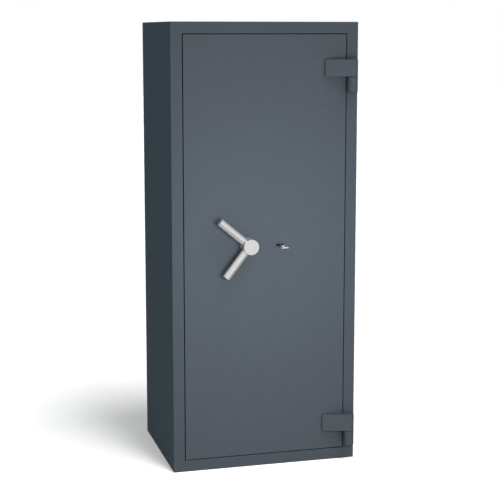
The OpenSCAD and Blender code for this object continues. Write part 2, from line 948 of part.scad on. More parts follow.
// Round arm with a threaded spigot that goes into the hub
module handle_arm(angle)
    color(steel) {
        handle_arm_rod(angle, spigot_r, spigot_in, hub_d / 2 + spigot_r);
        difference() {
            union() {
                handle_arm_rod(angle, arm_d / 2, spigot_in, arm_len - arm_chamfer);
                translate([handle_x, y_at(arm_s), handle_z])
                    rotate([0, 90 - angle, 0])
                        translate([0, 0, arm_len - arm_chamfer])
                            cylinder(r1 = arm_d / 2, r2 = arm_d / 2 - arm_chamfer, h = arm_chamfer);
            }
            rod_y(handle_x, handle_z, hub_d / 2, arm_s - arm_d, arm_s + arm_d);
        }
    }

module hub_grub_screw()
    color(black)
        grub_place()
            translate([0, 0, spindle_r])
                difference() {
                    cylinder(r = grub_r, h = grub_l);
                    translate([0, 0, grub_l - grub_hex_depth])
                        cylinder(r = grub_hex_r, h = grub_hex_depth + eps, $fn = 6);
                }

module handle_spindle()
    color(steel)
        difference() {
            rod_y(handle_x, handle_z, spindle_r, -hub_out + hub_floor, pinion_s[1] + spindle_over);
            circlip_ring(spindle_r + groove_depth);
        }

// Ring behind the bush, from the bottom of the spindle's groove to a radius
module circlip_ring(r_out)
    difference() {
        rod_y(handle_x, handle_z, r_out, circlip_s[0], circlip_s[1]);
        rod_y(handle_x, handle_z, spindle_r - groove_depth, circlip_s[0] - eps, circlip_s[1] + eps);
    }

module spindle_circlip()
    color(zinc)
        difference() {
            circlip_ring(spindle_r + circlip_w);
            block(handle_x - circlip_gap / 2, handle_x + circlip_gap / 2, handle_z,
                  handle_z + spindle_r + circlip_w + eps, circlip_s[0] - eps, circlip_s[1] + eps);
        }

module drive_pinion()
    color(steel)
        difference() {
            from_front(pinion_s[0], pinion_s[1])
                translate([handle_x, handle_z])
                    pinion_2d();
            rod_y(handle_x, handle_z, spindle_r, pinion_s[0] - eps, pinion_s[1] + eps);
        }

// ---------- bolt work ----------

side_bar_x = -housing_x + bolt_len;              // front face of the side bar
top_bar_z = housing_z[1] - bolt_len;
bottom_bar_z = housing_z[0] + bolt_len;
side_pitch_z = handle_z + pitch_r;
top_pitch_x = handle_x + pitch_r;
bottom_pitch_x = handle_x - pitch_r;

module side_bolt_bar()
    color(zinc)
        difference() {
            block(side_bar_x, side_bar_x + bar_t, side_bolt_z[0] - bar_over, side_bolt_z[3] + bar_over,
                  bolt_s - bar_w / 2, bolt_s + bar_w / 2);
            for (z = side_bolt_z)
                rod_x(side_bar_x - eps, side_bar_x + bar_t + eps, bolt_s, z, bolt_spigot_r);
        }

// Bolt along +Z with its nose at 0, a spigot through the bar and a riveted head
module bolt_shape() {
    translate([0, 0, bolt_nose])
        cylinder(r = bolt_d / 2, h = bolt_len - bolt_nose);
    cylinder(r1 = bolt_d / 2 - bolt_nose, r2 = bolt_d / 2, h = bolt_nose);
    translate([0, 0, bolt_len])
        cylinder(r = bolt_spigot_r, h = bar_t);
    translate([0, 0, bolt_len + bar_t])
        cylinder(r = bolt_spigot_r + rivet_over, h = rivet_h);
}

module side_bolts()
    color(steel)
        for (z = side_bolt_z)
            translate([-housing_x, y_at(bolt_s), z])
                rotate([0, 90, 0])
                    bolt_shape();

module side_rack()
    color(zinc)
        from_front(front_layer[0], front_layer[1])
            translate([handle_x, side_pitch_z])
                rack_2d(side_bar_x + bar_t - handle_x, throw + rack_over, -tooth_pitch, last_tooth);

module end_bolt_bar(z)
    difference() {
        block(end_bolt_x[0] - bar_over, end_bolt_x[1] + bar_over, z, z + bar_t,
              bolt_s - bar_w / 2, bolt_s + bar_w / 2);
        for (x = end_bolt_x)
            rod_z(x, bolt_s, z - eps, z + bar_t + eps, bolt_spigot_r);
    }

module top_bolt_bar()
    color(zinc)
        end_bolt_bar(top_bar_z - bar_t);

module top_bolts()
    color(steel)
        for (x = end_bolt_x)
            translate([x, y_at(bolt_s), housing_z[1]])
                rotate([180, 0, 0])
                    bolt_shape();

// Upright rack right of the pinion, running up to the top bar
module top_rack()
    color(zinc)
        from_front(rear_layer[0], rear_layer[1])
            translate([top_pitch_x, handle_z])
                rotate(-90)
                    rack_2d(-(top_bar_z - bar_t - handle_z), top_rack_tail, -tooth_pitch / 2, last_tooth);

// Stop plate that the lock bolt enters; one notch for bolts back, one for bolts thrown
module lock_strike()
    color(steel)
        difference() {
            union() {
                block(strike_x[0], strike_x[1], lock_bolt_z - throw - strike_over, lock_bolt_z + strike_over,
                      strike_s[0], strike_s[1]);
                block(strike_x[0], strike_x[1], lock_bolt_z - strike_foot[1], lock_bolt_z - strike_foot[0],
                      strike_s[1], rear_layer[0]);
            }
            for (z = [lock_bolt_z, lock_bolt_z - throw])
                block(strike_x[1] - notch_depth, strike_x[1] + eps, z - notch_h / 2, z + notch_h / 2,
                      strike_s[0] - eps, lock_bolt_s[1] + 1);
        }

module bottom_bolt_bar()
    color(zinc)
        end_bolt_bar(bottom_bar_z);

module bottom_bolts()
    color(steel)
        for (x = end_bolt_x)
            translate([x, y_at(bolt_s), housing_z[0]])
                bolt_shape();

// Upright rack left of the pinion, running down to the bottom bar
module bottom_rack()
    color(zinc)
        from_front(rear_layer[0], rear_layer[1])
            translate([bottom_pitch_x, handle_z])
                rotate(90)
                    rack_2d(bottom_bar_z + bar_t - handle_z, throw + rack_over, -tooth_pitch / 2, last_tooth);

// ---------- assembly ----------

casing();
back_plate();
front_frame();
lip_frame();
front_fill();
side_fill();
level_fill();
back_fill();
bolt_channel();
inner_liner();
door_seal();
anchor_sleeves();
shelf_rails();
shelf_clips();
shelf(1);  // shelf_1
shelf(2);  // shelf_2
shelf(3);  // shelf_3
shelf(4);  // shelf_4
hinge_base(upper_leaf_z);  // upper_hinge_base
hinge_base(lower_leaf_z);  // lower_hinge_base
hinge_pins();
hinge_washers();
door_plate();
door_pan();
door_fill();
hardplate();
bolt_housing();
rear_cover();
rear_cover_screws();
hinge_side_dogs();
bolt_guides();
rack_guides();
spindle_bush();
key_guide();
lock_case();
lock_cover();
lock_screws();
hinge_leaf(upper_leaf_z);  // upper_hinge_leaf
hinge_leaf(lower_leaf_z);  // lower_hinge_leaf
handle_hub();
handle_arm(arm_angle);  // handle_arm_upper
handle_arm(arm_angle + arm_spread);  // handle_arm_lower
hub_grub_screw();
handle_spindle();
spindle_circlip();
drive_pinion();
side_bolt_bar();
side_bolts();
side_rack();
top_bolt_bar();
top_bolts();
top_rack();
lock_strike();
bottom_bolt_bar();
bottom_bolts();
bottom_rack();
key_curtain();
key();
lock_bolt();
lever_pack();
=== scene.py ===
import math

import bmesh
import bpy
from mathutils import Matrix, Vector


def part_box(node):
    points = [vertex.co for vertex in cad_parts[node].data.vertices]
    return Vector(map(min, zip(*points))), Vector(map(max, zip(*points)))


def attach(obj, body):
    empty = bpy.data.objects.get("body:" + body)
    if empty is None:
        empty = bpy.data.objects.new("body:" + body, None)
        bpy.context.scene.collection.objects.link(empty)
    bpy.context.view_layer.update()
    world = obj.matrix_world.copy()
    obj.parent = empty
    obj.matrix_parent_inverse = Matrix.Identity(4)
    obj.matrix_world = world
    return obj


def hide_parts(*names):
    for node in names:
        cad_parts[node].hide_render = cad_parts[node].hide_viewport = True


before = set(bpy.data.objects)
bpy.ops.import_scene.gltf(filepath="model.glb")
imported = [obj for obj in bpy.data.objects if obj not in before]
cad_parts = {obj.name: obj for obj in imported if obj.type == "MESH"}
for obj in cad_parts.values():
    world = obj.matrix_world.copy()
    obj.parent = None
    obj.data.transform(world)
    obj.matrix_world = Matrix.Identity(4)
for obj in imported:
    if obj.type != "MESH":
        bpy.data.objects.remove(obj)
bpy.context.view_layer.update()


# ---------- node trees ----------

class Wire:
    """One value in a node tree. Arithmetic on it adds Math nodes."""

    def __init__(self, graph, socket):
        self.graph, self.socket = graph, socket

    def maths(self, operation, *values):
        return self.graph.node("ShaderNodeMath", {"operation": operation}, dict(enumerate(values)))

    def __add__(self, other):
        return self.maths("ADD", self, other)

    def __sub__(self, other):
        return self.maths("SUBTRACT", self, other)

    def __rsub__(self, other):
        return self.maths("SUBTRACT", other, self)

    def __mul__(self, other):
        return self.maths("MULTIPLY", self, other)

    __radd__ = __add__
    __rmul__ = __mul__


class Graph:
    """A node tree that is written as expressions."""

    def __init__(self, tree):
        self.tree = tree

    def node(self, kind, settings=None, inputs=None, out=0):
        made = self.tree.nodes.new(kind)
        for key, value in (settings or {}).items():
            if key == "stops":
                self.set_stops(made.color_ramp, value)
            else:
                setattr(made, key, value)
        for key, value in (inputs or {}).items():
            if isinstance(value, Wire):
                self.tree.links.new(value.socket, made.inputs[key])
            else:
                made.inputs[key].default_value = value
        return Wire(self, made.outputs[out])

    def blend(self, factor, first, second):
        return self.node("ShaderNodeMix", {"data_type": "RGBA"}, {
            0: factor, 6: (*first, 1.0), 7: (*second, 1.0)}, out=2)

    def ease(self, wire, low, high, start, end):
        """A smooth step from start to end, while the wire goes from low to high."""
        return self.node("ShaderNodeMapRange", {"interpolation_type": "SMOOTHSTEP"}, {
            "Value": wire, "From Min": low, "From Max": high, "To Min": start, "To Max": end})

    @staticmethod
    def set_stops(ramp, stops):
        while len(ramp.elements) < len(stops):
            ramp.elements.new(1.0)
        for element, (place, level) in zip(ramp.elements, stops):
            element.position = place
            element.color = (level, level, level, 1.0)


class Finish(Graph):
    """One material: its shader, its place coordinates and the patterns that its finishes share."""

    def __init__(self, name, metallic=0.0, roughness=0.5, specular=0.5):
        self.material = bpy.data.materials.new(name)
        self.material.use_nodes = True
        super().__init__(self.material.node_tree)
        self.shader = self.tree.nodes["Principled BSDF"]
        self.shader.inputs["Metallic"].default_value = metallic
        self.shader.inputs["Roughness"].default_value = roughness
        self.shader.inputs["Specular IOR Level"].default_value = specular
        self.place = self.node("ShaderNodeTexCoord", out="Object")

    def feed(self, label, wire):
        self.tree.links.new(wire.socket, self.shader.inputs[label])

    def mapped(self, scale=(1, 1, 1), turn=(0, 0, 0), centre=(0, 0, 0)):
        """Place coordinates counted from centre, turned, then stretched."""
        moved = self.node("ShaderNodeVectorMath", {"operation": "SUBTRACT"}, {0: self.place, 1: centre})
        turned = self.node("ShaderNodeMapping", {}, {"Vector": moved, "Rotation": turn})
        return self.node("ShaderNodeVectorMath", {"operation": "MULTIPLY"}, {0: turned, 1: scale})

    def noise(self, scale, detail=2.0, roughness=0.5, where=None):
        return self.node("ShaderNodeTexNoise", {}, {
            "Vector": where or self.place, "Scale": scale, "Detail": detail, "Roughness": roughness})

    def cells(self, scale, out="Distance"):
        return self.node("ShaderNodeTexVoronoi", {}, {"Vector": self.place, "Scale": scale}, out)

    def spread(self, wire, low, high):
        """The wire's middle range stretched over 0 to 1."""
        return self.node("ShaderNodeMapRange", {}, {
            "Value": wire, "From Min": low, "From Max": high})

    def bump(self, height, distance, strength=1.0):
        self.feed("Normal", self.node("ShaderNodeBump", {}, {
            "Strength": strength, "Distance": distance, "Height": height}))


def shaded(colour, share):
    return tuple(min(1.0, c * share) for c in colour)


# ---------- finishes ----------

PLATING_METALLIC = 0.72
PLATING_GREYS = ((0.43, 0.43, 0.43), (0.51, 0.51, 0.51))


def powder_coat(name, colour, roughness=0.46, grain=900.0):
    """Fine-textured powder coat: a soft drift of shade, and a grain that the light catches."""
    paint = Finish(name, specular=0.36)
    cloud = paint.noise(28.0, 2.0)
    mottle = paint.noise(grain * 0.13, 2.0)
    speck = paint.noise(grain, 3.0, 0.6)
    peel = paint.noise(grain * 0.3, 2.0)
    tone = paint.spread(cloud * 0.25 + mottle * 0.4 + speck * 0.35, 0.3, 0.7)
    paint.feed("Base Color", paint.blend(tone, shaded(colour, 0.89), shaded(colour, 1.11)))
    paint.feed("Roughness", roughness - 0.05 + 0.1 * speck)
    paint.bump(speck * 0.6 + peel * 0.4, 0.00025, 0.35)
    return paint.material


def satin_chrome(name, turn, centre):
    """Polished plating with faint lengthwise polishing lines and a few wiped marks."""
    plate = Finish(name, metallic=PLATING_METALLIC)
    lines = plate.noise(1.0, 4.0, 0.6, plate.mapped((12, 900, 900), turn, centre))
    wipes = plate.noise(24.0, 3.0)
    tone = plate.spread(lines, 0.3, 0.7)
    plate.feed("Base Color", plate.blend(tone, *PLATING_GREYS))
    plate.feed("Roughness", 0.12 + 0.06 * lines + 0.06 * plate.spread(wipes, 0.45, 0.75))
    plate.bump(lines, 0.00004, 0.25)
    return plate.material


def turned_chrome(name, centre):
    """Polished plating with faint rings left by turning, about an axis along Y."""
    plate = Finish(name, metallic=PLATING_METALLIC)
    flat = plate.mapped((1, 0, 1), centre=centre)
    radius = plate.node("ShaderNodeVectorMath", {"operation": "LENGTH"}, {0: flat}, out="Value")
    rings = plate.node("ShaderNodeTexNoise", {"noise_dimensions": "1D"}, {
        "W": radius, "Scale": 1500.0, "Detail": 3.0})
    wipes = plate.noise(30.0, 3.0)
    plate.feed("Base Color", plate.blend(rings, *PLATING_GREYS))
    plate.feed("Roughness", 0.30 + 0.08 * rings + 0.08 * plate.spread(wipes, 0.45, 0.75))
    plate.bump(rings, 0.00003, 0.3)
    return plate.material


def worked_steel(name, along):
    """Bright machined steel with tool lines, whose direction is set by how along stretches them."""
    colour = (0.56, 0.56, 0.55)
    steel = Finish(name, metallic=1.0)
    lines = steel.noise(1.0, 5.0, 0.65, steel.mapped(along))
    stain = steel.noise(14.0, 4.0, 0.6)
    tone = steel.spread(lines, 0.25, 0.75) * 0.6 + steel.spread(stain, 0.3, 0.7) * 0.4
    steel.feed("Base Color", steel.blend(tone, shaded(colour, 0.82), shaded(colour, 1.12)))
    steel.feed("Roughness", 0.28 + 0.14 * lines + 0.08 * stain)
    steel.bump(lines, 0.00006, 0.3)
    return steel.material


def zinc_plate(name):
    """Zinc plating: soft crystal patches, each a slightly different grey."""
    colour = (0.60, 0.60, 0.56)
    zinc = Finish(name, metallic=1.0)
    haze = zinc.noise(40.0, 2.0)
    patch = zinc.cells(110.0, out="Color")
    level = zinc.node("ShaderNodeSeparateColor", {}, {0: patch})
    tone = level * 0.5 + zinc.spread(haze, 0.3, 0.7) * 0.5
    zinc.feed("Base Color", zinc.blend(tone, shaded(colour, 0.86), shaded(colour, 1.12)))
    zinc.feed("Roughness", 0.34 + 0.16 * level + 0.06 * haze)
    zinc.bump(zinc.noise(700.0, 3.0), 0.00008, 0.25)
    return zinc.material


def bronze_bearing(name):
    """Yellow bearing metal with fine tool lines and a little tarnish."""
    brass = Finish(name, metallic=1.0)
    lines = brass.noise(1.0, 4.0, 0.6, brass.mapped((40, 1400, 40)))
    tarnish = brass.spread(brass.noise(55.0, 5.0, 0.6), 0.4, 0.75)
    brass.feed("Base Color", brass.blend(tarnish, (0.78, 0.60, 0.27), (0.50, 0.36, 0.16)))
    brass.feed("Roughness", 0.26 + 0.1 * lines + 0.14 * tarnish)
    brass.bump(lines, 0.00005, 0.3)
    return brass.material


def cast_filling(name):
    """Cast mineral filling with aggregate and pores."""
    cast = Finish(name, roughness=0.9)
    stones = cast.cells(70.0)
    sand = cast.noise(400.0, 4.0, 0.65)
    tone = cast.spread(stones, 0.1, 0.6) * 0.5 + sand * 0.5
    cast.feed("Base Color", cast.blend(tone, (0.30, 0.285, 0.26), (0.52, 0.50, 0.46)))
    cast.bump(stones * 0.4 + sand * 0.6, 0.0012, 0.5)
    return cast.material


def seal_rubber(name):
    """Dull black expanding seal with a fine pressed grain."""
    rubber = Finish(name, specular=0.35)
    grain = rubber.noise(1300.0, 3.0)
    dust = rubber.spread(rubber.noise(30.0, 4.0), 0.5, 0.8)
    rubber.feed("Base Color", rubber.blend(dust, (0.012, 0.012, 0.013), (0.05, 0.048, 0.045)))
    rubber.feed("Roughness", 0.62 + 0.2 * grain)
    rubber.bump(grain, 0.0002, 0.5)
    return rubber.material


def black_sleeve(name):
    """Moulded black plastic, smooth with a faint flow pattern."""
    plastic = Finish(name)
    flow = plastic.noise(60.0, 3.0)
    plastic.feed("Base Color", plastic.blend(flow, (0.006, 0.006, 0.007), (0.014, 0.014, 0.015)))
    plastic.feed("Roughness", 0.38 + 0.2 * flow)
    plastic.bump(plastic.noise(900.0, 2.0), 0.00008, 0.3)
    return plastic.material


def black_oxide(name):
    """Oil-blacked steel, rubbed a little brighter in patches."""
    steel = Finish(name, metallic=1.0)
    rub = steel.spread(steel.noise(260.0, 4.0, 0.6), 0.5, 0.8)
    steel.feed("Base Color", steel.blend(rub, (0.025, 0.025, 0.027), (0.11, 0.11, 0.11)))
    steel.feed("Roughness", 0.36 + 0.16 * rub)
    steel.bump(rub, 0.00006, 0.3)
    return steel.material


def nickel_key(name):
    """Nickel-plated key: bright, with short fine scratches from the ring and the lock."""
    nickel = Finish(name, metallic=1.0)
    scratch = nickel.noise(1.0, 4.0, 0.7, nickel.mapped((900, 120, 900), (0, 0, 0.5)))
    rub = nickel.spread(nickel.noise(90.0, 3.0), 0.4, 0.7)
    nickel.feed("Base Color", nickel.blend(rub, (0.86, 0.85, 0.82), (0.74, 0.72, 0.68)))
    nickel.feed("Roughness", 0.12 + 0.1 * scratch + 0.08 * rub)
    nickel.bump(scratch, 0.00004, 0.3)
    return nickel.material


def pale_floor(name):
    """Plain pale studio floor that glows a little by itself."""
    glow = 0.16
    floor = Finish(name, roughness=0.9, specular=0.0)
    speck = floor.noise(3.0, 3.0)
    floor.feed("Base Color", floor.blend(speck, (0.90, 0.90, 0.90), (0.92, 0.92, 0.92)))
    floor.shader.inputs["Emission Color"].default_value = (1, 1, 1, 1)
    floor.shader.inputs["Emission Strength"].default_value = glow
    return floor.material


# ---------- the safe's main places, from the frame ----------

def middle(node):
    low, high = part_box(node)
    return (low + high) / 2


BODY_LOW, BODY_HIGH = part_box("casing")
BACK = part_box("back_plate")[1].y
HALF_WIDTH = BODY_HIGH.x
HEIGHT = BODY_HIGH.z
FRONT = BODY_LOW.y
DOOR_GAP = 0.0035
OPENING = HALF_WIDTH - (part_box("door_plate")[1].x + DOOR_GAP)
HUB = middle("handle_hub")
NEAR = 2e-5


def close(a, b):
    return abs(a - b) < NEAR


def inset(p):
    """How far a point lies inside the body's outline, as seen from the front."""
    return min(HALF_WIDTH - abs(p.x), p.z, HEIGHT - p.z)


# ---------- making meshes ----------

WELD_DISTANCE = 2e-6
FLAT_ANGLE = math.radians(0.5)
LEAST_EDGE_ANGLE = math.radians(25)
CREASE_ANGLE = math.radians(35)
GROWN_CREASE_ANGLE = math.radians(30)


def link(name, data):
    made = bpy.data.objects.new(name, data)
    bpy.context.scene.collection.objects.link(made)
    return made


def plain_mesh(carrier):
    """The carrier with its modifiers worked into its mesh and removed."""
    depsgraph = bpy.context.evaluated_depsgraph_get()
    done = bpy.data.meshes.new_from_object(
        carrier.evaluated_get(depsgraph), preserve_all_data_layers=True, depsgraph=depsgraph)
    carrier.modifiers.clear()
    carrier.data = done
    return carrier


def mark_edges(mesh_maker, chosen):
    """Gives a bevel weight to each sharp edge that chosen accepts."""
    weight = mesh_maker.edges.layers.float.new("bevel_weight_edge")
    for edge in mesh_maker.edges:
        sharp = len(edge.link_faces) == 2 and edge.calc_face_angle() > LEAST_EDGE_ANGLE
        centre = (edge.verts[0].co + edge.verts[1].co) / 2
        if sharp and (chosen is None or chosen(centre)):
            edge[weight] = 1.0


def rounded_copy(name, node, radius, chosen=None, segments=3):
    """A copy of a CAD node with flat faces joined up and its sharp edges rounded."""
    maker = bmesh.new()
    maker.from_mesh(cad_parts[node].data)
    bmesh.ops.remove_doubles(maker, verts=maker.verts, dist=WELD_DISTANCE)
    bmesh.ops.dissolve_limit(maker, angle_limit=FLAT_ANGLE, verts=maker.verts, edges=maker.edges)
    mark_edges(maker, chosen)
    for face in maker.faces:
        face.smooth = True
    mesh = bpy.data.meshes.new(name)
    maker.to_mesh(mesh)
    maker.free()
    mesh.set_sharp_from_angle(angle=CREASE_ANGLE)
    piece = link(name, mesh)
    rounding = piece.modifiers.new("rounding", "BEVEL")
    rounding.limit_method = "WEIGHT"
    rounding.width = radius
    rounding.segments = segments
    rounding.use_clamp_overlap = True
    rounding.miter_outer = "MITER_ARC"
    even = piece.modifiers.new("even", "WEIGHTED_NORMAL")
    even.keep_sharp = True
    return plain_mesh(piece)


def fit(piece, body, material, node):
    """Gives a piece its finish and body, and lets it stand for its CAD node."""
    piece.data.materials.clear()
    piece.data.materials.append(material)
    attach(piece, body)
    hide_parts(node)


def dress(name, node, body, material, radius, chosen=None, segments=3):
    """Puts a rounded and finished copy in the place of a CAD node."""
    fit(rounded_copy(name, node, radius, chosen, segments), body, material, node)


# ---------- geometry trees ----------

SOCKETS = {float: "NodeSocketFloat", int: "NodeSocketInt", Vector: "NodeSocketVector"}


class Shape(Graph):
    """A geometry tree with named inputs. It ends in Realize Instances and Set Material."""

    def __init__(self, name, sizes):
        super().__init__(bpy.data.node_groups.new(name, "GeometryNodeTree"))
        face = self.tree.interface
        face.new_socket("Geometry", in_out="INPUT", socket_type="NodeSocketGeometry")
        for label, kind in sizes.items():
            face.new_socket(label, in_out="INPUT", socket_type=SOCKETS[kind])
        face.new_socket("Material", in_out="INPUT", socket_type="NodeSocketMaterial")
        face.new_socket("Geometry", in_out="OUTPUT", socket_type="NodeSocketGeometry")
        self.given = self.tree.nodes.new("NodeGroupInput")

    def size(self, label):
        return Wire(self, self.given.outputs[label])

    def vector(self, x=0.0, y=0.0, z=0.0):
        return self.node("ShaderNodeCombineXYZ", {}, {0: x, 1: y, 2: z})

    def joined(self, *parts):
        union = self.tree.nodes.new("GeometryNodeJoinGeometry")
        for part in parts:
            self.tree.links.new(part.socket, union.inputs[0])
        return Wire(self, union.outputs[0])

    def moved(self, part, offset=(0, 0, 0), turn=(0, 0, 0)):
        return self.node("GeometryNodeTransform", {}, {
            "Geometry": part, "Translation": offset, "Rotation": turn})

    def on_points(self, part, turn=(0, 0, 0)):
        return self.node("GeometryNodeInstanceOnPoints", {}, {
            "Points": self.size("Geometry"), "Instance": part, "Rotation": turn})

    def done(self, part):
        solid = self.node("GeometryNodeRealizeInstances", {}, {0: part})
        clean = self.node("GeometryNodeMergeByDistance", {}, {"Geometry": solid, "Distance": 1e-6})
        coated = self.node("GeometryNodeSetMaterial", {}, {
            "Geometry": clean, "Material": self.size("Material")})
        last = self.tree.nodes.new("NodeGroupOutput")
        self.tree.links.new(coated.socket, last.inputs["Geometry"])
        return self.tree


def grow(name, tree, points, material, sizes, edges=(), radii=None, turns=None):
    """Runs a geometry tree on points and returns the result as a plain mesh object."""
    mesh = bpy.data.meshes.new(name)
    mesh.from_pydata([tuple(p) for p in points], list(edges), [])
    if radii:
        mesh.attributes.new("radius", "FLOAT", "POINT").data.foreach_set("value", radii)
    if turns:
        flat = [angle for turn in turns for angle in turn]
        mesh.attributes.new("turn", "FLOAT_VECTOR", "POINT").data.foreach_set("vector", flat)
    carrier = link(name, mesh)
    modifier = carrier.modifiers.new("shape", "NODES")
    modifier.node_group = tree
    given = {**sizes, "Material": material}
    for item in tree.interface.items_tree:
        if item.in_out == "INPUT" and item.name in given:
            modifier[item.identifier] = given[item.name]
    piece = plain_mesh(carrier)
    for polygon in piece.data.polygons:
        polygon.use_smooth = True
    piece.data.set_sharp_from_angle(angle=GROWN_CREASE_ANGLE)
    return piece


def lathe_tree():
    """Round bars: each chain of points becomes a turned bar, with the radius that each point gives."""
    shape = Shape("turned_bar", {"Sides": int})
    line = shape.node("GeometryNodeMeshToCurve", {}, {"Mesh": shape.size("Geometry")})
    radius = shape.node("GeometryNodeInputNamedAttribute", {"data_type": "FLOAT"}, {"Name": "radius"})
    round_profile = shape.node("GeometryNodeCurvePrimitiveCircle", {}, {
        "Resolution": shape.size("Sides"), "Radius": 1.0})
    bar = shape.node("GeometryNodeCurveToMesh", {}, {
        "Curve": line, "Profile Curve": round_profile, "Scale": radius, "Fill Caps": True})
    return shape.done(bar)


def ring_tree():
    """Rings and tubes with a rounded square section, centred on each point and turned as it says."""
    shape = Shape("turned_ring", {
        "Outside Radius": float, "Bore Radius": float, "Length": float, "Rounding": float,
        "Sides": int})
    outside, bore = shape.size("Outside Radius"), shape.size("Bore Radius")
    section = shape.node("GeometryNodeCurvePrimitiveQuadrilateral", {}, {
        "Width": outside - bore, "Height": shape.size("Length")})
    soft = shape.node("GeometryNodeFilletCurve", {}, {
        "Curve": section, "Radius": shape.size("Rounding"), "Limit Radius": True})
    path = shape.node("GeometryNodeCurvePrimitiveCircle", {}, {
        "Resolution": shape.size("Sides"), "Radius": (outside + bore) * 0.5})
    ring = shape.node("GeometryNodeCurveToMesh", {}, {"Curve": path, "Profile Curve": soft})
    turn = shape.node("GeometryNodeInputNamedAttribute", {"data_type": "FLOAT_VECTOR"}, {"Name": "turn"})
    return shape.done(shape.on_points(ring, turn))


def strip_tree():
    """A strip with a rounded section that runs round a rectangle, centred on each point."""
    shape = Shape("rounded_strip", {
        "Width": float, "Height": float, "Breadth": float, "Depth": float, "Rounding": float,
        "Turn": Vector})
    breadth = shape.size("Breadth")
    line = shape.node("GeometryNodeCurvePrimitiveQuadrilateral", {}, {
        "Width": shape.size("Width") - breadth, "Height": shape.size("Height") - breadth})
    path = shape.node("GeometryNodeFilletCurve", {"mode": "POLY"}, {
        "Curve": line, "Count": 8, "Radius": breadth * 0.55})
    section = shape.node("GeometryNodeCurvePrimitiveQuadrilateral", {}, {
        "Width": breadth, "Height": shape.size("Depth")})
    soft = shape.node("GeometryNodeFilletCurve", {"mode": "POLY"}, {
        "Curve": section, "Count": 3, "Radius": shape.size("Rounding")})
    strip = shape.node("GeometryNodeCurveToMesh", {}, {"Curve": path, "Profile Curve": soft})
    return shape.done(shape.on_points(strip, shape.size("Turn")))


def screw_tree():
    """Button-headed screws with a six-sided socket, their heads rising along Z from each point."""
    shape = Shape("button_screw", {
        "Head Radius": float, "Head Height": float, "Socket Radius": float, "Shank Radius": float,
        "Shank Length": float, "Turn": Vector})
    radius, height = shape.size("Head Radius"), shape.size("Head Height")
    rim = shape.node("GeometryNodeMeshCylinder", {}, {
        "Vertices": 40, "Radius": radius, "Depth": height * 0.4})
    dome = shape.node("GeometryNodeMeshCone", {}, {
        "Vertices": 40, "Radius Top": radius * 0.62, "Radius Bottom": radius, "Depth": height * 0.6})
    head = shape.joined(shape.moved(rim, shape.vector(z=height * 0.2)),
                        shape.moved(dome, shape.vector(z=height * 0.4)))
    socket = shape.node("GeometryNodeMeshCylinder", {}, {
        "Vertices": 6, "Radius": shape.size("Socket Radius"), "Depth": height * 1.2})
    cutter = shape.moved(socket, shape.vector(z=height * 1.1))
    bored = shape.node("GeometryNodeMeshBoolean", {"operation": "DIFFERENCE", "solver": "EXACT"}, {
        "Mesh 1": head, "Mesh 2": cutter, "Self Intersection": True})
    shank = shape.node("GeometryNodeMeshCylinder", {}, {
        "Vertices": 40, "Radius": shape.size("Shank Radius"), "Depth": shape.size("Shank Length")})
    body = shape.moved(shank, shape.vector(z=shape.size("Shank Length") * -0.5))
    return shape.done(shape.on_points(shape.joined(bored, body), shape.size("Turn")))


def rail_tree():
    """Upright rails: from each point a sheet rises along Z, with a row of rounded slots."""
    shape = Shape("slotted_rail", {
        "Width": float, "Height": float, "Thickness": float, "First Slot": float, "Pitch": float,
        "Slots": int, "Slot Width": float, "Slot Height": float})
    height = shape.size("Height")
    plate = shape.node("GeometryNodeCurvePrimitiveQuadrilateral", {}, {
        "Width": shape.size("Width"), "Height": height})
    slot = shape.node("GeometryNodeCurvePrimitiveQuadrilateral", {}, {
        "Width": shape.size("Slot Width"), "Height": shape.size("Slot Height")})
    first = shape.vector(y=shape.size("First Slot") - height * 0.5)
    row = shape.node("GeometryNodeMeshLine", {}, {
        "Count": shape.size("Slots"), "Start Location": first,
        "Offset": shape.vector(y=shape.size("Pitch"))})
    slots = shape.node("GeometryNodeRealizeInstances", {}, {
        0: shape.node("GeometryNodeInstanceOnPoints", {}, {"Points": row, "Instance": slot})})
    sheet = shape.node("GeometryNodeFillCurve", {"mode": "TRIANGLES"}, {"Curve": shape.joined(plate, slots)})
    raised = shape.node("GeometryNodeExtrudeMesh", {"mode": "FACES"}, {
        "Mesh": sheet, "Offset": shape.vector(z=1.0), "Offset Scale": shape.size("Thickness"),
        "Individual": False})
    under = shape.node("GeometryNodeFlipFaces", {}, {"Mesh": sheet})
    lift = shape.vector(z=height * 0.5)
    upright = shape.moved(shape.joined(raised, under), lift, (math.pi / 2, 0, math.pi / 2))
    return shape.done(shape.on_points(upright))


# ---------- pieces ----------

BOLT_RADIUS = 0.014
BOLT_BODY = 0.070
SPIGOT_RADIUS = 0.007
RIVET_HEIGHT = 0.004
SCREW_HEAD_RADIUS = 0.005


def chain_edges(count, length):
    """Edges that join count chains of length points each."""
    return [(c * length + i, c * length + i + 1) for c in range(count) for i in range(length - 1)]


def bolt_profile(bar):
    """Stations of one bolt: rounded nose, body, spigot through a bar of that thickness, rivet head."""
    nose, edge, step = 0.003, 0.0006, 2e-5
    head_radius = SPIGOT_RADIUS + 0.003
    far = BOLT_BODY + bar
    turns = [(nose * (1 - math.cos(a)), BOLT_RADIUS - nose * (1 - math.sin(a)))
             for a in (math.radians(t) for t in range(0, 91, 15))]
    return turns + [
        (BOLT_BODY - edge, BOLT_RADIUS), (BOLT_BODY, BOLT_RADIUS - edge),
        (BOLT_BODY + step, SPIGOT_RADIUS), (far - step, SPIGOT_RADIUS),
        (far, head_radius - edge), (far + edge, head_radius),
        (far + 0.0025, head_radius), (far + RIVET_HEIGHT, SPIGOT_RADIUS + 0.001)]


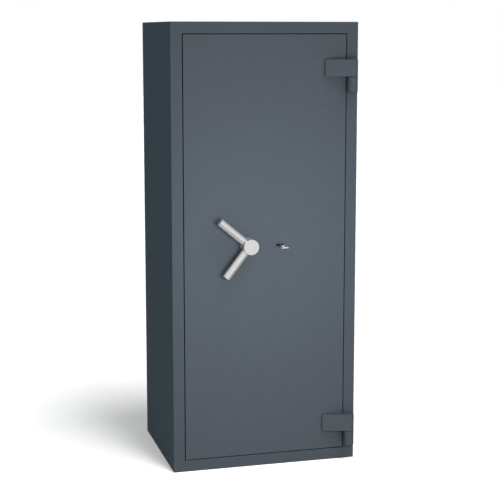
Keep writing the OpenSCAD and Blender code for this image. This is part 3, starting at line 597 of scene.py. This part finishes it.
def bolts(name, node, noses, direction, material, body, tree):
    """A set of equal bolts, each from its nose in the given direction."""
    low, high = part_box(node)
    reach = abs((high - low).dot(direction))
    stations = bolt_profile(reach - BOLT_BODY - RIVET_HEIGHT)
    points = [nose + direction * along for nose in noses for along, _ in stations]
    radii = [r for _ in noses for _, r in stations]
    edges = chain_edges(len(noses), len(stations))
    piece = grow(name, tree, points, material, {"Sides": 48}, edges, radii)
    fit(piece, body, material, node)


def screws(name, node, levels, head_height, socket_radius, shank_radius, material, tree):
    """Two upright rows of screws in the door, driven in from behind, at the given levels."""
    low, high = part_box(node)
    columns = (low.x + SCREW_HEAD_RADIUS, high.x - SCREW_HEAD_RADIUS)
    under_head = high.y - head_height
    centres = [(x, under_head, z) for x in columns for z in levels]
    sizes = {"Head Radius": SCREW_HEAD_RADIUS, "Head Height": head_height, "Socket Radius": socket_radius,
             "Shank Radius": shank_radius, "Shank Length": under_head - low.y,
             "Turn": (-math.pi / 2, 0, 0)}
    fit(grow(name, tree, centres, material, sizes), "door", material, node)


def make_body(paint, liner, fill, zinc):
    """Casing, frames, liner, filling and shelves."""
    def outline(p):
        planes = (close(abs(p.x), HALF_WIDTH), close(p.z, 0) or close(p.z, HEIGHT),
                  close(p.y, FRONT), close(p.y, BACK))
        return sum(planes) >= 2

    def opening_edge(p):
        return close(inset(p), OPENING)

    dress("outer_casing", "casing", "body", paint, 0.0022, outline)
    dress("rear_plate", "back_plate", "body", paint, 0.0022, outline)
    dress("door_frame", "front_frame", "body", paint, 0.0012, opening_edge)
    dress("bolt_lip", "lip_frame", "body", paint, 0.0012)
    for node in ("upper_hinge_base", "lower_hinge_base"):
        dress(node.replace("base", "knuckle"), node, "body", paint, 0.0010)
    for node in ("bolt_channel", "inner_liner"):
        dress(node + "_sheet", node, "body", liner, 0.0012)
    for number in range(1, 5):
        node = f"shelf_{number}"
        dress(node + "_tray", node, "body", liner, 0.0012)
    for node in ("front_fill", "side_fill", "level_fill", "back_fill"):
        dress(node + "_cast", node, "body", fill, 0.0005)
    dress("shelf_hooks", "shelf_clips", "body", zinc, 0.0005)


def make_seal(tree, rubber):
    """The swelling strip that runs round the front of the lip."""
    low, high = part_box("door_seal")
    sizes = {"Width": high.x - low.x, "Height": high.z - low.z, "Breadth": 0.010, "Depth": high.y - low.y,
             "Rounding": 0.0006, "Turn": (math.pi / 2, 0, 0)}
    piece = grow("swelling_seal", tree, [(low + high) / 2], rubber, sizes)
    fit(piece, "body", rubber, "door_seal")


def make_sleeves(tree, zinc):
    """Anchor sleeves through the floor and the rear wall."""
    low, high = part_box("anchor_sleeves")
    radius, length = 0.012, 0.060
    back_row, low_row = 0.140, 0.400
    right = high.x - radius
    flat, upright = (math.pi / 2, 0, 0), (0, 0, 0)
    centres = [(x, y, length / 2) for x in (-right, right) for y in (low.y + radius, back_row)]
    turns = [upright] * len(centres)
    centres += [(x, high.y - length / 2, z) for x in (-right, right) for z in (low_row, high.z - radius)]
    turns += [flat] * (len(centres) - len(turns))
    sizes = {"Outside Radius": radius, "Bore Radius": 0.009, "Length": length, "Rounding": 0.0008,
             "Sides": 48}
    piece = grow("anchor_tubes", tree, centres, zinc, sizes, turns=turns)
    fit(piece, "body", zinc, "anchor_sleeves")


def make_rails(tree, zinc):
    """Four slotted rails, two on each side wall."""
    low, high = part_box("shelf_rails")
    width, thickness = 0.024, 0.003
    feet = [(x, y, low.z) for x in (low.x, high.x - thickness)
            for y in (low.y + width / 2, high.y - width / 2)]
    sizes = {"Width": width, "Height": high.z - low.z, "Thickness": thickness, "First Slot": 0.055,
             "Pitch": 0.048, "Slots": 33, "Slot Width": 0.012, "Slot Height": 0.008}
    fit(grow("slotted_rails", tree, feet, zinc, sizes), "body", zinc, "shelf_rails")


def make_hinge_pins(steel, plastic):
    dress("turned_hinge_pins", "hinge_pins", "body", steel, 0.0008)
    dress("thrust_washers", "hinge_washers", "body", plastic, 0.0003)


def make_door(paint, liner, fill, steel, zinc, brass, plastic):
    """Plate, tray and bolt box of the door, with everything that is fixed in them."""
    edge_band = 0.006

    def plate_outline(p):
        return inset(p) < OPENING + edge_band

    dress("door_front_plate", "door_plate", "door", paint, 0.0010, plate_outline)
    for node in ("upper_hinge_leaf", "lower_hinge_leaf"):
        dress(node + "_wedge", node, "door", paint, 0.0014)
    for name, node in (("door_tray", "door_pan"), ("bolt_box", "bolt_housing")):
        dress(name, node, "door", paint, 0.0010)
    dress("inside_cover", "rear_cover", "door", liner, 0.0008)
    dress("door_fill_cast", "door_fill", "door", fill, 0.0005)
    for name, node in (("drill_plate", "hardplate"), ("fixed_dogs", "hinge_side_dogs"),
                       ("guide_rings", "bolt_guides")):
        dress(name, node, "door", steel, 0.0006)
    for name, node in (("rack_blocks", "rack_guides"), ("flanged_bush", "spindle_bush")):
        dress(name, node, "door", brass, 0.0004)
    dress("keyhole_sleeve", "key_guide", "door", plastic, 0.0003)
    for name, node in (("lock_body", "lock_case"), ("lock_lid", "lock_cover")):
        dress(name, node, "door", zinc, 0.0005)


def make_cover_screws(tree, zinc):
    """Ten small screws that hold the rear cover."""
    levels = (0.090, 0.500, 0.900, 1.300, 1.710)
    screws("cover_screws", "rear_cover_screws", levels, 0.003, 0.0021, 0.0025, zinc, tree)


def make_lock_screws(tree, steel):
    """Four screws at the corners of the lock."""
    low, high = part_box("lock_screws")
    levels = (low.z + SCREW_HEAD_RADIUS, high.z - SCREW_HEAD_RADIUS)
    screws("lock_cap_screws", "lock_screws", levels, 0.005, 0.0028, 0.003, steel, tree)


def make_handle(steel, zinc, black):
    """Hub, two arms and the spindle with what sits on it."""
    hub = turned_chrome("hub_chrome", HUB)
    dress("hub", "handle_hub", "handle", hub, 0.0022, segments=4)
    for node in ("handle_arm_upper", "handle_arm_lower"):
        reach = middle(node) - HUB
        angle = math.atan2(reach.z, reach.x)
        chrome = satin_chrome(node + "_chrome", (0, angle, 0), HUB)
        dress(node.replace("handle_", ""), node, "handle", chrome, 0.0010)
    dress("grub_screw", "hub_grub_screw", "handle", black, 0.0003)
    dress("spindle", "handle_spindle", "handle", steel, 0.0006)
    dress("pinion", "drive_pinion", "handle", steel, 0.0003)
    dress("circlip", "spindle_circlip", "handle", zinc, 0.0002)


def make_bolt_work(tree, zinc, across, upright):
    """Bars, racks and bolts on three sides."""
    low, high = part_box("side_bolts")
    x, y = low.x, (low.y + high.y) / 2
    noses = [Vector((x, y, z)) for z in (0.300, 0.700, 1.120, 1.520)]
    bolts("side_round_bolts", "side_bolts", noses, Vector((1, 0, 0)), across, "side_work", tree)
    for node, body, direction in (("top_bolts", "top_work", -1), ("bottom_bolts", "bottom_work", 1)):
        low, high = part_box(node)
        z = high.z if direction < 0 else low.z
        noses = [Vector((x, y, z)) for x in (low.x + BOLT_RADIUS, high.x - BOLT_RADIUS)]
        name = node.replace("bolts", "round_bolts")
        bolts(name, node, noses, Vector((0, 0, direction)), upright, body, tree)
    for side in ("side", "top", "bottom"):
        for part in ("bolt_bar", "rack"):
            node = f"{side}_{part}"
            dress(node + "_plated", node, side + "_work", zinc, 0.0004)
    dress("stop_plate", "lock_strike", "top_work", upright, 0.0005)


def make_lock(steel, brass):
    """The lock's moving parts and its key."""
    dress("key_drum", "key_curtain", "curtain", brass, 0.0003)
    dress("sliding_lock_bolt", "lock_bolt", "lock_bolt", steel, 0.0005)
    dress("lever_plates", "lever_pack", "levers", brass, 0.0002)
    dress("safe_key", "key", "key", nickel_key("key_nickel"), 0.0004)


# ---------- studio ----------

def area_light(name, place, aim, size, power):
    """A soft panel that lights the safe but shows neither in the view nor in a reflection."""
    data = bpy.data.lights.new(name, "AREA")
    data.shape = "RECTANGLE"
    data.size, data.size_y = size
    data.energy = power
    data.spread = math.radians(105)
    lamp = link(name, data)
    lamp.location = place
    lamp.rotation_euler = (Vector(aim) - Vector(place)).to_track_quat("-Z", "Y").to_euler()
    lamp.visible_camera = lamp.visible_glossy = False


def make_world():
    """A white surround. As a light it is bright ahead on the left, and dim behind and in a band below.

    Near the horizon behind it is bluish.
    """
    seen, ahead, behind = 1.0, 0.92, 0.17
    white, bluish = (1, 1, 1), (0.50, 0.95, 1.12)
    rear = (0.35, 0.94, 0)
    world = bpy.data.worlds.new("studio")
    world.use_nodes = True
    bpy.context.scene.world = world
    graph = Graph(world.node_tree)
    looked_at = graph.node("ShaderNodeLightPath", out="Is Camera Ray")
    direction = graph.node("ShaderNodeTexCoord", out="Generated")
    rearward = graph.node("ShaderNodeVectorMath", {"operation": "DOT_PRODUCT"}, {
        0: direction, 1: rear}, out="Value")
    upward = graph.node("ShaderNodeSeparateXYZ", {}, {0: direction}, out="Z")
    fade = graph.ease(rearward, -0.75, 0.45, ahead, behind)
    bands = graph.node("ShaderNodeValToRGB", {"stops": [
        (0.05, 1.0), (0.08, 0.30), (0.26, 0.30), (0.30, 1.0)]}, {0: upward * 0.5 + 0.5})
    cast = fade * bands
    strength = cast + looked_at * (seen - cast)
    rearness = graph.ease(rearward, -0.45, 0.45, 0.0, 1.0)
    # 1 at the horizon, and nothing from 30 degrees above or below it
    levelness = 1.0 - 4.0 * upward * upward
    tint = graph.blend(rearness * levelness * (1.0 - looked_at), white, bluish)
    background = world.node_tree.nodes["Background"]
    world.node_tree.links.new(tint.socket, background.inputs["Color"])
    world.node_tree.links.new(strength.socket, background.inputs["Strength"])


def sun(name, travel, strength, width):
    """Parallel light with soft edges, travelling in the given direction."""
    data = bpy.data.lights.new(name, "SUN")
    data.energy = strength
    data.angle = math.radians(width)
    lamp = link(name, data)
    lamp.rotation_euler = Vector(travel).to_track_quat("-Z", "Y").to_euler()


def make_studio():
    """A pale floor, the surround and two lamps."""
    bpy.ops.mesh.primitive_plane_add(size=60, location=(0, 0, 0))
    floor = bpy.context.object
    floor.name = "studio_floor"
    floor.data.materials.append(pale_floor("floor_paint"))
    floor.visible_glossy = False
    make_world()
    sun("key_sun", travel=(-0.26, 0.36, -1.0), strength=2.25, width=28)
    area_light("front_panel", place=(0.05, -1.75, 0.98), aim=(-0.08, -0.3, 0.92), size=(0.5, 0.5), power=11.5)


def make_camera():
    """A long lens just below the level of the safe's top, looking down at its front from the left."""
    data = bpy.data.cameras.new("camera")
    data.sensor_width = 36.0
    data.lens = 92.94
    data.shift_y = -0.05
    camera = link("camera", data)
    camera.location = (-1.3978, -5.1994, 1.7594)
    looking_down, turned_right = 8.5, 15.19
    camera.rotation_euler = (math.radians(90 - looking_down), 0, math.radians(-turned_right))
    bpy.context.scene.camera = camera


def build():
    """Makes every finish, tree and piece."""
    # The casing's slate coat is a darker copy of the door's: painted shade for the casing's side and front
    # frame, which the real safe paints in the same coat as the door
    shaded_body_paint = powder_coat("slate_coat_body", (0.030, 0.040, 0.050))
    door_paint = powder_coat("slate_coat_door", (0.034, 0.0425, 0.052))
    liner = powder_coat("pale_grey_coat", (0.33, 0.34, 0.34), 0.42, 700.0)
    fill = cast_filling("cast_filling")
    rubber = seal_rubber("seal_rubber")
    plastic = black_sleeve("black_sleeve")
    black = black_oxide("black_oxide")
    zinc = zinc_plate("zinc_plate")
    brass = bronze_bearing("bearing_metal")
    across = worked_steel("steel_turned_across", (2500, 60, 60))
    upright = worked_steel("steel_turned_upright", (60, 60, 2500))
    ground = worked_steel("steel_ground", (60, 2500, 60))

    turned_bar, turned_ring, button_screw = lathe_tree(), ring_tree(), screw_tree()
    make_body(shaded_body_paint, liner, fill, zinc)
    make_seal(strip_tree(), rubber)
    make_sleeves(turned_ring, zinc)
    make_rails(rail_tree(), zinc)
    make_hinge_pins(upright, plastic)
    make_door(door_paint, liner, fill, across, zinc, brass, plastic)
    make_cover_screws(button_screw, zinc)
    make_lock_screws(button_screw, ground)
    make_handle(ground, zinc, black)
    make_bolt_work(turned_bar, zinc, across, upright)
    make_lock(ground, brass)


make_camera()
make_studio()
build()
bpy.context.scene.view_settings.view_transform = "Standard"
